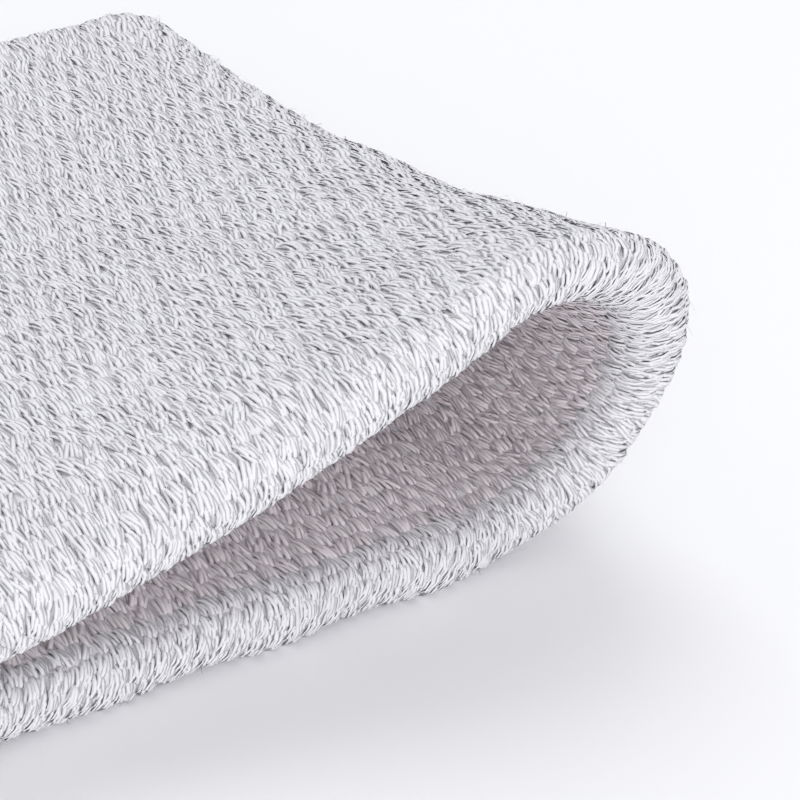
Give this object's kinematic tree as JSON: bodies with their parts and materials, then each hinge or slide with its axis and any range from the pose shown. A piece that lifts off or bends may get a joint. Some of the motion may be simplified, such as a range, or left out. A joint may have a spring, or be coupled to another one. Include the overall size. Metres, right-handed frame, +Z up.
{
  "type": "sweat wristband",
  "caption": "Soft elasticated wristband: a double-walled terry-knit tube with rolled rims, lying flattened with its front mouth partly open.",
  "frame": {"origin": "bottom centre of the band's bounding box, on the surface it lies on", "axes": "+X across the flattened band towards its open side fold, +Y along the tube from the front mouth to the back mouth, +Z up through the flattened thickness"},
  "size_m": [0.086, 0.084, 0.032],
  "materials": {
    "terry_outer": "matt looped terry knit",
    "terry_lining": "matt terry knit, flattened by wear side",
    "terry_rim": "matt looped terry knit, rolled",
    "covered_elastic": "fibre-covered elastic core",
    "seam_thread": "matt spun polyester overlock thread"
  },
  "bodies": {
    "root": {"outer_terry_wall": "terry_outer", "lining_terry_wall": "terry_lining", "front_rim_fold": "terry_rim", "back_rim_fold": "terry_rim", "outer_elastic_yarns": "covered_elastic", "lining_elastic_yarns": "covered_elastic", "joining_seam": "seam_thread"}
  },
  "joints": []
}
